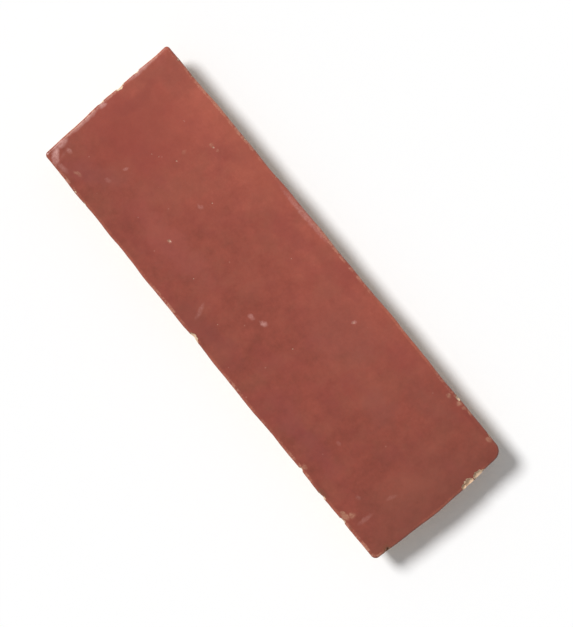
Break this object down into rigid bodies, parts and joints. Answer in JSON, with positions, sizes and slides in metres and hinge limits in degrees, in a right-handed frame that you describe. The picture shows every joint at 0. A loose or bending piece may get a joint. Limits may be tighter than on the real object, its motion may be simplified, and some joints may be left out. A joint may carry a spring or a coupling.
{
  "type": "zellige tile",
  "caption": "Long hand-cut terracotta wall and floor tile with a wavy red glazed face, rolled arris, chiselled undercut flanks and a flat raw clay back.",
  "frame": {"origin": "middle of the tile's outline, on the raw clay back that it lies on", "axes": "+X along the tile's length from head to foot, +Y across it, +Z out of the glazed face"},
  "size_m": [0.1554, 0.0494, 0.012],
  "materials": {
    "glazed_clay": "satin brick-red glaze over a buff terracotta body"
  },
  "bodies": {
    "root": {"zellige_tile": "glazed_clay"}
  },
  "joints": []
}
